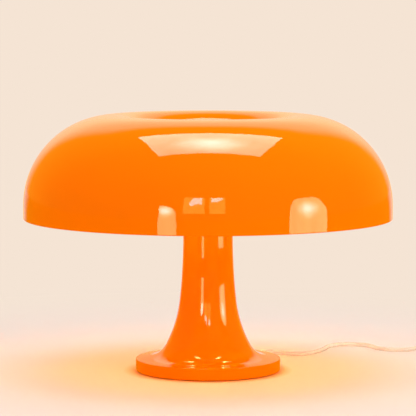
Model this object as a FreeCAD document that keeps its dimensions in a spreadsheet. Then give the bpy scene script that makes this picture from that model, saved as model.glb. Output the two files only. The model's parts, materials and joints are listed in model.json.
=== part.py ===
import FreeCAD, Part
import math
import os

import Sketcher
from FreeCAD import Placement, Rotation, Vector

# Mushroom table lamp. Millimetres and degrees. The origin is the bottom centre of the foot,
# +Z is up, and -Y is the front. The cord leaves the foot at the rear right.

X_AXIS = Vector(1, 0, 0)
Y_AXIS = Vector(0, 1, 0)
Z_AXIS = Vector(0, 0, 1)

# Driving dimensions: each is one cell of the document's sheet.
SIZES = {
    # Shade: vertical rim band, round dome, and a well that rolls in from the crown.
    "shade_radius": 160.0,
    "shade_wall": 2.8,
    "rim_height": 133.5,
    "rim_band": 11.5,
    "dome_radius": 78.0,
    "well_roll_radius": 38.0,
    "well_floor_radius": 26.0,
    "rim_rounding": 0.7,
    # Stem and foot: one moulding whose flare is three tangent arcs, given from the top down.
    "stem_radius": 21.55,
    "stem_wall": 3.0,
    "stem_rise": 12.5,
    "flare_top_radius": 528.0,
    "flare_top_angle": 6.3,
    "flare_middle_radius": 108.0,
    "flare_middle_angle": 28.5,
    "flare_low_radius": 20.5,
    "flare_low_angle": 86.0,
    "foot_radius": 63.0,
    "foot_height": 11.0,
    "foot_gap": 0.8,
    "foot_rounding": 0.5,
    # Underside: pad ring, cover and ballast.
    "pad_thickness": 1.0,
    "pad_inset": 2.0,
    "pad_width": 20.0,
    "cover_thickness": 1.6,
    "cover_clearance": 0.4,
    "cover_screw_circle": 30.0,
    "cover_screw_count": 3.0,
    "cover_screw_radius": 1.45,
    "cover_screw_head_radius": 2.9,
    "cover_screw_length": 6.4,
    "ballast_clearance": 3.0,
    "ballast_hub_radius": 30.0,
    "ballast_hub_rise": 7.35,
    "hub_clearance": 0.1,
    "ballast_slot_width": 10.0,
    "ballast_slot_reach": 27.0,
    "nut_pocket_radius": 11.5,
    # Tie rod with its nuts and washers.
    "rod_radius": 5.0,
    "rod_bore_radius": 3.2,
    "rod_clearance": 0.4,
    "nut_across_flats": 17.0,
    "nut_height": 5.0,
    "washer_radius": 10.0,
    "washer_thickness": 1.5,
    # White carrier on the stem's top, with its lid and the soft ring under the shade.
    "carrier_flat": 21.0,
    "carrier_corner": 17.5,
    "carrier_height": 24.0,
    "carrier_wall": 2.2,
    "carrier_floor": 3.0,
    "spigot_length": 6.0,
    "spigot_wall": 2.0,
    "spigot_clearance": 0.3,
    "lid_thickness": 2.0,
    "seat_ring_radius": 19.0,
    "seat_ring_width": 7.0,
    "seat_ring_thickness": 1.0,
    # Retaining knob in the well.
    "knob_radius": 17.0,
    "knob_height": 14.0,
    "knob_crown": 2.4,
    "knob_rounding": 2.0,
    "knob_flutes": 16.0,
    "knob_flute_radius": 1.6,
    "knob_flute_depth": 0.7,
    "knob_washer_radius": 14.0,
    "knob_washer_thickness": 1.0,
    "insert_radius": 7.0,
    "insert_length": 9.0,
    "insert_clearance": 0.3,
    "rod_end_gap": 1.5,
    # Lampholders: two-pin capsule type, standing out from the carrier's four flats.
    "socket_height": 13.0,
    "socket_rear_radius": 8.0,
    "socket_rear_length": 6.5,
    "socket_front_radius": 8.5,
    "socket_front_length": 9.5,
    "socket_clearance": 0.2,
    "flange_width": 25.0,
    "flange_height": 19.0,
    "flange_thickness": 2.5,
    "flange_screw_offset": 10.5,
    "flange_screw_radius": 1.2,
    "flange_screw_head_radius": 1.8,
    "flange_screw_head_height": 1.4,
    "flange_screw_length": 6.5,
    "pin_offset": 4.5,
    "slot_width": 4.0,
    "slot_thickness": 1.8,
    "contact_thickness": 0.8,
    "contact_width": 3.2,
    "contact_reach": 9.0,
    "contact_tail": 1.0,
    # Capsule bulbs.
    "bulb_radius": 7.5,
    "bulb_wall": 1.0,
    "bulb_base_length": 10.5,
    "bulb_tube_length": 34.0,
    "bulb_gap": 0.3,
    "bulb_pin_length": 7.0,
    "bulb_pin_width": 2.6,
    "bulb_pin_thickness": 0.8,
    # Inner wiring.
    "wire_radius": 0.8,
    "wire_bend": 2.0,
    "bus_radius": 12.6,
    "sleeve_radius": 1.5,
    "sleeve_length": 7.0,
    "sleeve_proud": 1.5,
    "block_near": 8.0,
    "block_depth": 11.0,
    "block_width": 20.0,
    "block_height": 11.0,
    "block_pole_offset": 5.0,
    "block_screw_radius": 1.7,
    "block_screw_depth": 5.0,
    "block_screw_inset": 3.2,
    "clamp_length": 5.0,
    "clamp_width": 18.0,
    "clamp_height": 5.2,
    "clamp_gap": 2.0,
    "clamp_screw_offset": 6.3,
    "clamp_screw_radius": 1.2,
    "clamp_screw_head_radius": 2.2,
    "clamp_screw_head_height": 1.5,
    "clamp_screw_depth": 5.0,
    # Cord and its tapered strain relief in the foot's rear right side.
    "cord_diameter": 3.8,
    "exit_azimuth": 55.0,
    "exit_height": 4.8,
    "bush_radius": 3.1,
    "bush_collar_radius": 3.7,
    "bush_collar_thickness": 1.5,
    "bush_tip_radius": 2.5,
    "bush_length": 19.0,
    "bush_ribs": 5.0,
    "bush_rib_depth": 0.35,
    "bush_clearance": 0.1,
    # Coil of the put-away length, four layers high.
    "coil_mean_radius": 22.8,
    "coil_turns": 10.0,
    "coil_gap": 0.5,
    "coil_layers": 4.0,
    # In-line rocker switch.
    "switch_length": 62.0,
    "switch_width": 25.0,
    "switch_height": 19.0,
    "switch_split": 9.5,
    "switch_wall": 1.8,
    "switch_corner": 9.0,
    "switch_edge": 2.4,
    "switch_entry": 6.5,
    "switch_boss_radius": 3.2,
    "switch_boss_seat": 0.3,
    "switch_screw_radius": 1.1,
    "switch_screw_head_radius": 2.1,
    "switch_screw_head_height": 1.4,
    "switch_screw_engagement": 4.5,
    "window_length": 19.0,
    "window_width": 10.6,
    "rocker_length": 17.0,
    "rocker_clearance": 0.3,
    "rocker_rise": 4.0,
    "rocker_dip": 1.2,
    "rocker_drop": 1.5,
    "rocker_keel": 3.0,
    "rocker_tilt": 10.0,
    "rocker_pivot_height": 15.5,
    "rocker_pin_radius": 1.2,
    "rocker_pin_play": 0.08,
    "ear_thickness": 2.2,
    "ear_width": 5.0,
    "ear_depth": 2.6,
    "strip_thickness": 0.8,
    "strip_width": 3.0,
    "strip_length": 12.0,
    "strip_offset": 6.0,
    "strip_gap": 0.6,
    # Flat two-pin plug.
    "plug_length": 33.0,
    "plug_width": 35.3,
    "plug_rear_width": 15.0,
    "plug_taper_start": 12.0,
    "plug_height": 13.7,
    "plug_edge": 3.0,
    "plug_pin_radius": 2.0,
    "plug_pin_length": 19.0,
    "plug_pin_spacing": 18.6,
    "boot_length": 20.0,
    "boot_radius": 4.6,
    "boot_tip_radius": 2.7,
    "boot_ribs": 5.0,
    "boot_rib_depth": 0.5,
    # Fastenings.
    "thread_play": 0.05,
    "screw_play": 0.1,
    "screw_end_gap": 0.5,
    "screw_sink": 1.0,
    "switch_screw_sink": 0.2,
}

# How far a cutting tool runs past the faces that it cuts, and how near two sizes count as equal.
PAST = 1.0
NEAR = 1e-3
# How far a swept tube's volume may be from its section times its length, as a share.
VOLUME_SLACK = 0.01
# Azimuth of the first lampholder, their number, and the carrier's turn that faces them.
FIRST_AZIMUTH = 45.0
SOCKET_COUNT = 4

# Places of the pieces on the cord, on the table beyond the lamp's right side.
SWITCH_PLACE = (249.0, 84.0)
COIL_ENTRY = (249.0, 10.0)
PLUG_PLACE = (247.0, -54.0)

# Routes of the free cord on the table in x, y and z: from the strain relief to the switch, on to
# the coil, and from the coil to the plug. The straight stretch at each end of a route is worked
# out from the piece that it meets.
CORD_ROUTE = [
    (65.4, 81.6, 2.4),
    (81.1, 78.6, 1.9),
    (93.7, 84.9, 1.9),
    (106.4, 107.1, 1.9),
    (112.3, 131.7, 1.9),
    (130.1, 142.9, 1.9),
    (149.9, 135.3, 1.9),
    (155.8, 114.3, 1.9),
    (170.6, 104.2, 1.9),
    (188.1, 107.8, 1.9),
    (199.0, 128.0, 1.9),
    (212.0, 146.0, 1.9),
    (229.0, 151.5, 2.2),
    (243.8, 143.5, 4.2),
]
LEAD_ROUTE = [
    (250.0, 32.5, 2.7),
]
END_ROUTE = [
    (248.2, -14.0, 11.4),
]
# Straight stretch of cord at each piece that it meets.
EXIT_RUN = 12.0
END_RUN = 9.7
# Bends of the cord inside the foot, as runs beyond the inner end of the ballast's slot, and the
# share of its rise that it has made at the middle one.
INLET_NEAR = 2.0
INLET_MIDDLE = 10.0
INLET_FAR = 19.0
INLET_RISE = 0.36
# Share of a riser's height at its lower bend; the upper bend is three times as high.
RISER_BEND = 0.125
# Share of the shorter run beside a corner that its bend takes up.
BEND_SHARE = 0.45
# Angle by which a bus wire runs on past its last contact.
BUS_OVERRUN = 3.0

doc = FreeCAD.newDocument("mushroom_lamp")
sheet = doc.addObject("Spreadsheet::Sheet", "sizes")
for row, (name, value) in enumerate(SIZES.items(), start=1):
    sheet.set(f"A{row}", name)
    sheet.set(f"B{row}", str(value))
    sheet.setAlias(f"B{row}", name)
doc.recompute()


class Size:
    """A number that also knows the sheet expression it comes from."""

    def __init__(self, value, text):
        self.value = float(value)
        self.text = text

    def __add__(self, other):
        other = as_size(other)
        return Size(self.value + other.value, f"({self.text} + {other.text})")

    def __sub__(self, other):
        other = as_size(other)
        return Size(self.value - other.value, f"({self.text} - {other.text})")

    def __mul__(self, other):
        other = as_size(other)
        return Size(self.value * other.value, f"({self.text} * {other.text})")

    def __truediv__(self, other):
        other = as_size(other)
        return Size(self.value / other.value, f"({self.text} / {other.text})")

    def __neg__(self):
        return Size(-self.value, f"(-1 * {self.text})")

    def __rsub__(self, other):
        return as_size(other) - self

    def __rmul__(self, other):
        return as_size(other) * self


def as_size(number):
    return number if isinstance(number, Size) else Size(number, repr(float(number)))


def sine(angle):
    return Size(math.sin(math.radians(angle.value)), f"sin({angle.text})")


def cosine(angle):
    return Size(math.cos(math.radians(angle.value)), f"cos({angle.text})")


def tangent(angle):
    return Size(math.tan(math.radians(angle.value)), f"tan({angle.text})")


def root(number):
    return Size(math.sqrt(number.value), f"sqrt({number.text})")


def angle_of_slope(rise, run):
    slope = rise / run
    return Size(math.degrees(math.atan(slope.value)), f"(atan({slope.text}) / 1 deg)")


class Sheet:
    """Reads each alias of the sheet as a Size."""

    def __getattr__(self, name):
        return Size(getattr(sheet, name), f"sizes.{name}")


s = Sheet()
nodes = []


def bind(target, prop, number):
    """Ties a property to its expression, or sets it where it is a plain number."""
    number = as_size(number)
    target.setExpression(prop, number.text)


def place(obj, x=0, y=0, z=0, turn=0, axis=Z_AXIS):
    """Puts an object at x, y, z, turned about an axis, with each value tied to the sheet.

    A rotation by 0 forgets its axis, so the axis is first set with a small angle.
    """
    x, y, z, turn = as_size(x), as_size(y), as_size(z), as_size(turn)
    obj.Placement = Placement(Vector(x.value, y.value, z.value), Rotation(axis, turn.value or NEAR))
    for prop, number in (("Base.x", x), ("Base.y", y), ("Base.z", z), ("Rotation.Angle", turn)):
        obj.setExpression(f"Placement.{prop}", number.text)
    return obj


def node(label, obj):
    """Names an object as one of the lamp's pieces."""
    obj.Label = label
    nodes.append(obj)
    return obj


class Outline:
    """A closed outline of straight and round sides, drawn from corner to corner."""

    def __init__(self, x, y):
        self.corners = [(as_size(x), as_size(y))]
        self.rounds = []

    def line(self, x, y):
        self.corners.append((as_size(x), as_size(y)))
        self.rounds.append(None)
        return self

    def arc(self, x, y, radius, turn):
        """A round side of less than a half turn; turn is +1 to the left and -1 to the right."""
        self.corners.append((as_size(x), as_size(y)))
        self.rounds.append((as_size(radius), turn))
        return self

    def draw(self, sketch):
        """Draws the sides; the last one runs back to the first corner."""
        rounds = self.rounds + [None]
        ends = []
        for index, (start, side) in enumerate(zip(self.corners, rounds)):
            finish = self.corners[(index + 1) % len(self.corners)]
            a = Vector(start[0].value, start[1].value, 0)
            b = Vector(finish[0].value, finish[1].value, 0)
            if side is None:
                edge = sketch.addGeometry(Part.LineSegment(a, b))
                ends.append((edge, 1, 2))
                continue
            radius, turn = side
            chord = b - a
            height = math.sqrt(max(radius.value ** 2 - (chord.Length / 2) ** 2, 0))
            normal = Vector(-chord.y, chord.x, 0).normalize() * turn
            centre = (a + b) * 0.5 + normal * height
            first, last = (a, b) if turn > 0 else (b, a)
            angles = [math.atan2(p.y - centre.y, p.x - centre.x) for p in (first, last)]
            circle = Part.Circle(centre, Z_AXIS, radius.value)
            edge = sketch.addGeometry(Part.ArcOfCircle(circle, angles[0], angles[1]))
            ends.append((edge, 1, 2) if turn > 0 else (edge, 2, 1))
        for (edge, _, last), (after, first, _) in zip(ends, ends[1:] + ends[:1]):
            sketch.addConstraint(Sketcher.Constraint("Coincident", edge, last, after, first))
        for (x, y), (edge, first, _), side in zip(self.corners, ends, rounds):
            pin_point(sketch, edge, first, x, y)
            if side is not None:
                number = sketch.addConstraint(Sketcher.Constraint("Radius", edge, side[0].value))
                sketch.setExpression(f"Constraints[{number}]", side[0].text)


def pin_point(sketch, edge, point, x, y):
    """Holds a point of a sketch at x, y, measured from the sketch's origin."""
    for kind, axis, number in (("DistanceX", -2, x), ("DistanceY", -1, y)):
        number = as_size(number)
        if number.text == "0.0":
            sketch.addConstraint(Sketcher.Constraint("PointOnObject", edge, point, axis))
            continue
        row = sketch.addConstraint(Sketcher.Constraint(kind, -1, 1, edge, point, number.value))
        sketch.setExpression(f"Constraints[{row}]", number.text)


class Circle:
    """A round outline about a centre."""

    def __init__(self, x, y, radius):
        self.x, self.y, self.radius = as_size(x), as_size(y), as_size(radius)

    def draw(self, sketch):
        centre = Vector(self.x.value, self.y.value, 0)
        edge = sketch.addGeometry(Part.Circle(centre, Z_AXIS, self.radius.value))
        pin_point(sketch, edge, 3, self.x, self.y)
        row = sketch.addConstraint(Sketcher.Constraint("Radius", edge, self.radius.value))
        sketch.setExpression(f"Constraints[{row}]", self.radius.text)


def rectangle(x0, y0, x1, y1):
    return Outline(x0, y0).line(x1, y0).line(x1, y1).line(x0, y1)


def new_body(label):
    body = doc.addObject("PartDesign::Body", label)
    body.Label = label
    return body


def origin_feature(body, role):
    return next(item for item in body.Origin.OriginFeatures if item.Role == role)


def new_sketch(body, outlines, plane="XY_Plane", offset=0):
    sketch = body.newObject("Sketcher::SketchObject", body.Label + "_sketch")
    sketch.AttachmentSupport = (origin_feature(body, plane), [""])
    sketch.MapMode = "FlatFace"
    bind(sketch, "AttachmentOffset.Base.z", offset)
    for outline in outlines:
        outline.draw(sketch)
    return sketch


def turned(label, outline, axis="V_Axis"):
    """A body turned about its own Z axis, or about X with axis H_Axis, from a half outline."""
    body = new_body(label)
    sketch = new_sketch(body, [outline], "XZ_Plane")
    spin = body.newObject("PartDesign::Revolution", label + "_turned")
    spin.Profile = sketch
    spin.ReferenceAxis = (sketch, [axis])
    spin.Angle = 360
    doc.recompute()
    return body


def extruded(label, outlines, height, plane="XY_Plane", offset=0, midplane=False):
    """A body padded from an outline along its plane's normal."""
    body = new_body(label)
    pad = body.newObject("PartDesign::Pad", label + "_pad")
    pad.Profile = new_sketch(body, outlines, plane, offset)
    pad.Midplane = midplane
    bind(pad, "Length", height)
    doc.recompute()
    return body


def pocket(body, outlines, depth, plane="XY_Plane", offset=0, downwards=True, midplane=False):
    """Cuts an outline out of a body and checks that something came off."""
    before = body.Shape.Volume
    cut = body.newObject("PartDesign::Pocket", body.Label + "_pocket")
    cut.Profile = new_sketch(body, outlines, plane, offset)
    cut.Midplane = midplane
    cut.Reversed = not downwards
    bind(cut, "Length", depth)
    doc.recompute()
    if not before - body.Shape.Volume > NEAR:
        raise RuntimeError(f"a pocket of {body.Label} cuts nothing")
    return cut


def ring_of(body, feature, count, axis="Z_Axis"):
    """Repeats a feature round one of the body's axes."""
    pattern = body.newObject("PartDesign::PolarPattern", body.Label + "_ring")
    pattern.Originals = [feature]
    pattern.Axis = (origin_feature(body, axis), [""])
    pattern.Angle = 360
    bind(pattern, "Occurrences", count)
    body.Tip = pattern
    doc.recompute()


def rounded(body, radius, chosen):
    """Rounds the edges of the body's last feature that the test chooses."""
    last = body.Tip
    edges = [f"Edge{number}" for number, edge in enumerate(last.Shape.Edges, 1) if chosen(edge)]
    if not edges:
        raise RuntimeError(f"{body.Label} has no such edge to round")
    fillet = body.newObject("PartDesign::Fillet", body.Label + "_rounding")
    fillet.Base = (last, edges)
    bind(fillet, "Radius", radius)
    doc.recompute()


def edge_at_height(*heights):
    """Chooses the edges that lie flat at one of the given heights."""
    def test(edge):
        box = edge.BoundBox
        flat = box.ZLength < NEAR
        return flat and any(abs(box.ZMin - height.value) < NEAR for height in heights)
    return test


def upright(edge):
    """Chooses straight edges that stand parallel to Z."""
    box = edge.BoundBox
    return box.ZLength > NEAR and box.XLength < NEAR and box.YLength < NEAR


def box(label, x0, y0, z0, length, width, height):
    """A block from its lowest corner."""
    block = doc.addObject("Part::Box", label)
    bind(block, "Length", length)
    bind(block, "Width", width)
    bind(block, "Height", height)
    return place(block, x0, y0, z0)


def rod(label, radius, length, x=0, y=0, z=0, along=Z_AXIS):
    """A round bar that starts at x, y, z and runs along an axis."""
    bar = doc.addObject("Part::Cylinder", label)
    bind(bar, "Radius", radius)
    bind(bar, "Height", length)
    if along == Z_AXIS:
        return place(bar, x, y, z)
    hinge = Y_AXIS if along == X_AXIS else X_AXIS
    return place(bar, x, y, z, 90 if along == X_AXIS else -90, hinge)


def cut(label, base, tools):
    result = doc.addObject("Part::Cut", label)
    result.Base = base
    result.Tool = tools[0] if len(tools) == 1 else fused(label + "_tools", tools)
    doc.recompute()
    if not base.Shape.Volume - result.Shape.Volume > NEAR:
        raise RuntimeError(f"the cut in {label} takes nothing off")
    return result


def fused(label, parts):
    result = doc.addObject("Part::MultiFuse", label)
    result.Shapes = parts
    return result


def group(label, parts):
    """One node of several separate solids."""
    result = doc.addObject("Part::Compound", label)
    result.Links = parts
    return result


def hexagon(across_flats):
    """A nut's outline with two flats square to Y."""
    corner = across_flats / root(as_size(3))
    half = across_flats / 2
    outline = Outline(corner, 0)
    outline.line(corner / 2, half).line(-corner / 2, half).line(-corner, 0)
    return outline.line(-corner / 2, -half).line(corner / 2, -half)


def hex_nut(label, z):
    """A hexagonal nut round the tie rod."""
    bore = Circle(0, 0, s.rod_radius + s.thread_play)
    nut = extruded(label, [hexagon(s.nut_across_flats), bore], s.nut_height)
    return place(nut, z=z)


def washer(label, outer, thickness, z):
    """A flat ring round the tie rod."""
    inner = s.rod_radius + s.rod_clearance
    ring = turned(label, rectangle(inner, 0, outer, thickness))
    return place(ring, z=z)


def pan_screw(label, radius, length, head_radius, head_height):
    """A screw along its own X: the head's seat is at x = 0 and the shank points to -X."""
    outline = Outline(-length, 0).line(head_height, 0).line(head_height, head_radius)
    outline.line(0, head_radius).line(0, radius).line(-length, radius)
    return turned(label, outline, "H_Axis")


def flex(label, points, radius):
    """A round tube along straight runs joined by tangent arcs; prints and checks its radii."""
    path, at, bends = [], Vector(points[0]), []
    total = 0.0
    for before, corner, after in zip(points, points[1:], points[2:]):
        before, corner, after = Vector(before), Vector(corner), Vector(after)
        come, leave = corner - before, after - corner
        turn = come.getAngle(leave)
        reach = BEND_SHARE * min(come.Length, leave.Length)
        bend = reach / math.tan(turn / 2)
        start = corner - Vector(come).normalize() * reach
        finish = corner + Vector(leave).normalize() * reach
        inwards = (start + finish) * 0.5 - corner
        middle = corner + inwards.normalize() * (bend / math.cos(turn / 2) - bend)
        path.append(Part.LineSegment(at, start).toShape())
        path.append(Part.Arc(start, middle, finish).toShape())
        total += (start - at).Length + bend * turn
        bends.append(round(bend, 1))
        at = finish
    path.append(Part.LineSegment(at, Vector(points[-1])).toShape())
    total += (Vector(points[-1]) - at).Length
    heading = Vector(points[1]) - Vector(points[0])
    return sweep(label, path, Vector(points[0]), heading, radius, total, bends)


def sweep(label, edges, start, heading, radius, length, bends):
    """Sweeps a round section along joined edges and compares the volume with section x length."""
    section = Part.Wire([Part.Circle(start, heading, radius).toShape()])
    shell = Part.BRepOffsetAPI.MakePipeShell(Part.Wire(edges))
    shell.add(section)
    shell.build()
    shell.makeSolid()
    tube = doc.addObject("Part::Feature", label)
    tube.Shape = shell.shape()
    ratio = tube.Shape.Volume / (math.pi * radius ** 2 * length)
    print(f"{label}: length {length:.1f}, radii {bends}, volume / (section x length) {ratio:.4f}")
    if abs(ratio - 1) > VOLUME_SLACK:
        raise RuntimeError(f"{label} does not have the volume of its tube")
    return tube


# ---------------------------------------------------------------------------------------------
# Heights and radii that several pieces share
# ---------------------------------------------------------------------------------------------

crown_radius = s.shade_radius - s.dome_radius
dome_base = s.rim_height + s.rim_band
apex = dome_base + s.dome_radius
stem_top = s.rim_height + s.stem_rise
carrier_top = stem_top + s.carrier_height
lid_top = carrier_top + s.lid_thickness
well_underside = lid_top + s.seat_ring_thickness
well_floor = well_underside + s.shade_wall
knob_base = well_floor + s.knob_washer_thickness
socket_axis = stem_top + s.socket_height

cover_base = s.pad_thickness
ballast_base = cover_base + s.cover_thickness
foot_inner_radius = s.foot_radius - s.stem_wall
pad_outer_radius = foot_inner_radius - s.pad_inset

# The flare's joints, from the foot's top up to the straight stem.
flare_reach = s.flare_top_radius * (1 - cosine(s.flare_top_angle))
flare_reach += s.flare_middle_radius * (cosine(s.flare_top_angle) - cosine(s.flare_middle_angle))
flare_reach += s.flare_low_radius * (cosine(s.flare_middle_angle) - cosine(s.flare_low_angle))
flare_end_r = s.stem_radius + flare_reach
flare_end_z = s.foot_height + (s.foot_radius - flare_end_r) / tangent(s.flare_low_angle)
flare_low_rise = s.flare_low_radius * (sine(s.flare_low_angle) - sine(s.flare_middle_angle))
flare_low_reach = s.flare_low_radius * (cosine(s.flare_middle_angle) - cosine(s.flare_low_angle))
flare_low_z = flare_end_z + flare_low_rise
flare_low_r = flare_end_r - flare_low_reach
flare_middle_rise = s.flare_middle_radius * (sine(s.flare_middle_angle) - sine(s.flare_top_angle))
flare_middle_reach = s.flare_middle_radius * (
    cosine(s.flare_top_angle) - cosine(s.flare_middle_angle))
flare_middle_z = flare_low_z + flare_middle_rise
flare_middle_r = flare_low_r - flare_middle_reach
flare_top_z = flare_middle_z + s.flare_top_radius * sine(s.flare_top_angle)
ballast_top = flare_end_z - s.stem_wall * sine(s.flare_low_angle)
hub_top = ballast_top + s.ballast_hub_rise

cord_radius = s.cord_diameter / 2
rod_base = ballast_base + s.rod_clearance
lower_nut_base = rod_base + s.rod_clearance
lower_washer_base = lower_nut_base + s.nut_height
nut_pocket_top = lower_washer_base + s.washer_thickness
rod_top = knob_base + s.insert_length - s.rod_end_gap


# ---------------------------------------------------------------------------------------------
# Shade, knob and what holds them
# ---------------------------------------------------------------------------------------------

def make_shade():
    """Dome of one arc over a vertical band; the crown rolls in and down to the well's floor."""
    wall = s.shade_wall
    depth = apex - well_floor
    width = crown_radius - s.well_floor_radius
    slope = 2 * angle_of_slope(depth, width)
    both = width / sine(slope)
    foot_curve = both - s.well_roll_radius
    roll_z = apex - s.well_roll_radius
    hole = s.rod_radius + s.rod_clearance
    inner_roll = s.well_roll_radius - wall

    outline = Outline(s.shade_radius, s.rim_height)
    outline.line(s.shade_radius, dome_base)
    outline.arc(crown_radius, apex, s.dome_radius, +1)
    outline.arc(crown_radius - s.well_roll_radius * sine(slope),
                roll_z + s.well_roll_radius * cosine(slope), s.well_roll_radius, +1)
    outline.arc(s.well_floor_radius, well_floor, foot_curve, -1)
    outline.line(hole, well_floor)
    outline.line(hole, well_underside)
    outline.line(s.well_floor_radius, well_underside)
    outline.arc(crown_radius - inner_roll * sine(slope),
                roll_z + inner_roll * cosine(slope), foot_curve + wall, +1)
    outline.arc(crown_radius, apex - wall, inner_roll, -1)
    outline.arc(s.shade_radius - wall, dome_base, s.dome_radius - wall, -1)
    outline.line(s.shade_radius - wall, s.rim_height)
    shade = turned("shade", outline)
    rounded(shade, s.rim_rounding, edge_at_height(s.rim_height))
    node("shade", shade)


def make_knob():
    """Fluted round knob with a domed top and a pressed-in brass thread."""
    side_top = s.knob_height - s.knob_crown
    crown = (s.knob_radius * s.knob_radius + s.knob_crown * s.knob_crown) / (2 * s.knob_crown)
    bore_top = s.insert_length + s.rod_end_gap
    outline = Outline(s.insert_radius, 0)
    outline.line(s.knob_radius, 0).line(s.knob_radius, side_top)
    outline.arc(0, s.knob_height, crown, +1)
    outline.line(0, bore_top).line(s.insert_radius, bore_top)
    knob = turned("shade_knob", outline)
    rounded(knob, s.knob_rounding, edge_at_height(side_top))
    flute = Circle(s.knob_radius + s.knob_flute_radius - s.knob_flute_depth, 0,
                   s.knob_flute_radius)
    groove = pocket(knob, [flute], s.knob_height, offset=s.knob_height)
    ring_of(knob, groove, s.knob_flutes)
    node("shade_knob", place(knob, z=knob_base))

    thread = s.rod_radius + s.insert_clearance
    insert = turned("knob_insert", rectangle(thread, 0, s.insert_radius, s.insert_length))
    node("knob_insert", place(insert, z=knob_base))
    node("knob_washer", washer("knob_washer", s.knob_washer_radius, s.knob_washer_thickness,
                               well_floor))


# Turn from one side of an octagon to the next.
OCTAGON_TURN = 45.0


def octagon(flat, corner):
    """A square of the given half width with its corners cut back."""
    outline = Outline(flat, -corner)
    outline.line(flat, corner).line(corner, flat).line(-corner, flat)
    outline.line(-flat, corner).line(-flat, -corner).line(-corner, -flat)
    return outline.line(corner, -flat)


def make_carrier():
    """White tower on the stem's top with a flat for each lampholder and a spigot in the stem."""
    inner_flat = s.carrier_flat - s.carrier_wall
    inner_corner = s.carrier_corner - s.carrier_wall * tangent(as_size(OCTAGON_TURN / 2))
    rod_hole = Circle(0, 0, s.rod_radius + s.rod_clearance)
    tower = extruded("carrier_tower", [octagon(s.carrier_flat, s.carrier_corner), rod_hole],
                     s.carrier_height)
    pocket(tower, [octagon(inner_flat, inner_corner)], s.carrier_height - s.carrier_floor,
           offset=s.carrier_height)
    door = Circle(0, s.socket_height, s.socket_rear_radius + s.socket_clearance)
    hole = pocket(tower, [door], s.carrier_wall * 2, "YZ_Plane",
                  s.carrier_flat + s.carrier_wall / 2)
    ring_of(tower, hole, SOCKET_COUNT)
    for side in (-1, 1):
        screw_hole = Circle(side * s.flange_screw_offset, s.socket_height,
                            s.flange_screw_radius + s.thread_play)
        hole = pocket(tower, [screw_hole], s.carrier_wall * 2, "YZ_Plane",
                      s.carrier_flat + s.carrier_wall / 2)
        ring_of(tower, hole, SOCKET_COUNT)
    spigot_radius = s.stem_radius - s.stem_wall - s.spigot_clearance
    spigot = turned("carrier_spigot",
                    rectangle(spigot_radius - s.spigot_wall, -s.spigot_length, spigot_radius, 0))
    place(tower, turn=FIRST_AZIMUTH)
    whole = fused("carrier_whole", [tower, spigot])
    wire_holes = [rod(f"carrier_wire_hole_{side}", s.sleeve_radius + s.socket_clearance,
                      s.carrier_floor * 2, x=side * riser_radius, z=-s.carrier_floor / 2)
                  for side in (-1, 1)]
    carrier = cut("socket_carrier", whole, wire_holes)
    node("socket_carrier", place(carrier, z=stem_top))

    lid = extruded("carrier_lid", [octagon(s.carrier_flat, s.carrier_corner), rod_hole],
                   s.lid_thickness)
    node("carrier_lid", place(lid, z=carrier_top, turn=FIRST_AZIMUTH))
    ring = rectangle(s.seat_ring_radius - s.seat_ring_width, 0, s.seat_ring_radius,
                     s.seat_ring_thickness)
    node("seat_ring", place(turned("seat_ring", ring), z=lid_top))
    washer_base = stem_top + s.carrier_floor
    node("carrier_washer", washer("carrier_washer", s.washer_radius, s.washer_thickness,
                                  washer_base))
    node("carrier_nut", hex_nut("carrier_nut", washer_base + s.washer_thickness))
    tie = turned("threaded_rod",
                 rectangle(s.rod_bore_radius, 0, s.rod_radius, rod_top - rod_base))
    node("threaded_rod", place(tie, z=rod_base))


# ---------------------------------------------------------------------------------------------
# Lampholders and bulbs: each is made along its own +X and turned to its azimuth
# ---------------------------------------------------------------------------------------------

socket_rear = s.carrier_flat - s.socket_rear_length
flange_front = s.carrier_flat + s.flange_thickness
socket_front = flange_front + s.socket_front_length
bulb_base = socket_front + s.bulb_gap
bulb_shoulder = bulb_base + s.bulb_base_length
riser_radius = root(s.bus_radius * s.bus_radius + s.wire_bend * s.wire_bend)


def socket_azimuth(index):
    return FIRST_AZIMUTH + 360 / SOCKET_COUNT * index


def at_socket(obj, index):
    return place(obj, z=socket_axis, turn=socket_azimuth(index))


def make_socket(index):
    """Ceramic barrel with a screwed flange and two slots for the bulb's pins."""
    tag = index + 1
    outline = Outline(socket_rear, 0).line(socket_front, 0)
    outline.line(socket_front, s.socket_front_radius).line(flange_front, s.socket_front_radius)
    outline.line(flange_front, s.socket_rear_radius).line(socket_rear, s.socket_rear_radius)
    barrel = turned(f"socket_barrel_{tag}", outline, "H_Axis")
    flange = box(f"socket_flange_{tag}", s.carrier_flat, -s.flange_width / 2,
                 -s.flange_height / 2, s.flange_thickness, s.flange_width, s.flange_height)
    slots = [box(f"socket_slot_{tag}_{side}", socket_rear - PAST, -s.slot_width / 2,
                 side * s.pin_offset - s.slot_thickness / 2,
                 socket_front - socket_rear + 2 * PAST, s.slot_width, s.slot_thickness)
             for side in (-1, 1)]
    holes = [rod(f"socket_hole_{tag}_{side}", s.flange_screw_radius + s.thread_play,
                 s.flange_thickness * 3, x=s.carrier_flat - s.flange_thickness,
                 y=side * s.flange_screw_offset, along=X_AXIS)
             for side in (-1, 1)]
    holder = cut(f"socket_{tag}", fused(f"socket_whole_{tag}", [barrel, flange]), slots + holes)
    node(f"socket_{tag}", at_socket(holder, index))


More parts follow.
